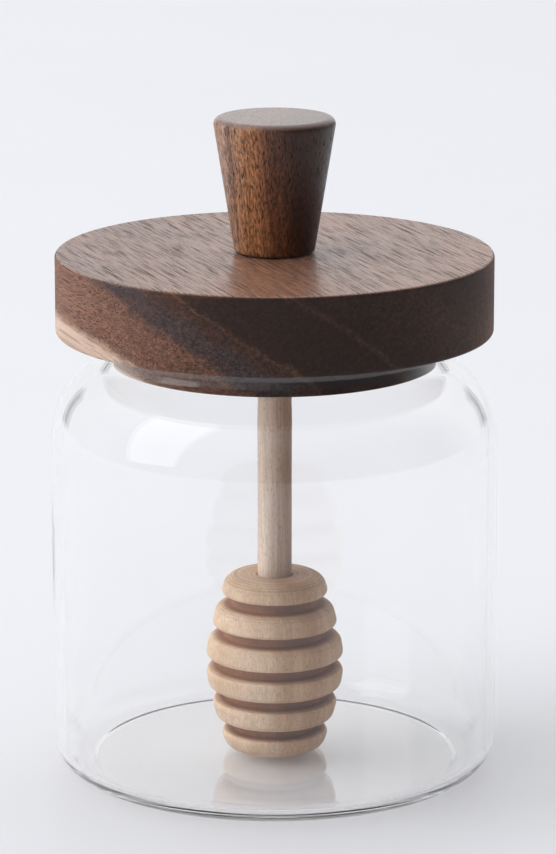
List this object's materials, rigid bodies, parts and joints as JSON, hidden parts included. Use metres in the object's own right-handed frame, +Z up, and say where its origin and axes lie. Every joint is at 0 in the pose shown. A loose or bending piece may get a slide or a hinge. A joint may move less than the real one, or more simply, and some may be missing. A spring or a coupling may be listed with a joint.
{
  "type": "glass honey jar with wooden lid and dipper",
  "caption": "Round clear glass jar with a rounded shoulder, a thick turned walnut lid with a tapered knob, and a beech honey dipper hanging inside.",
  "frame": {"origin": "middle of the jar's flat underside", "axes": "+Z up along the jar's axis; the picture looks along +Y"},
  "size_m": [0.1, 0.1, 0.1482],
  "materials": {
    "glass": "clear polished glass",
    "walnut": "walnut with a pale sapwood edge, satin",
    "beech": "pale beech, plain sanded"
  },
  "bodies": {
    "root": {"jar": "glass", "lid": "walnut", "knob": "walnut", "dipper_rod": "beech", "dipper_head": "beech"}
  },
  "joints": []
}
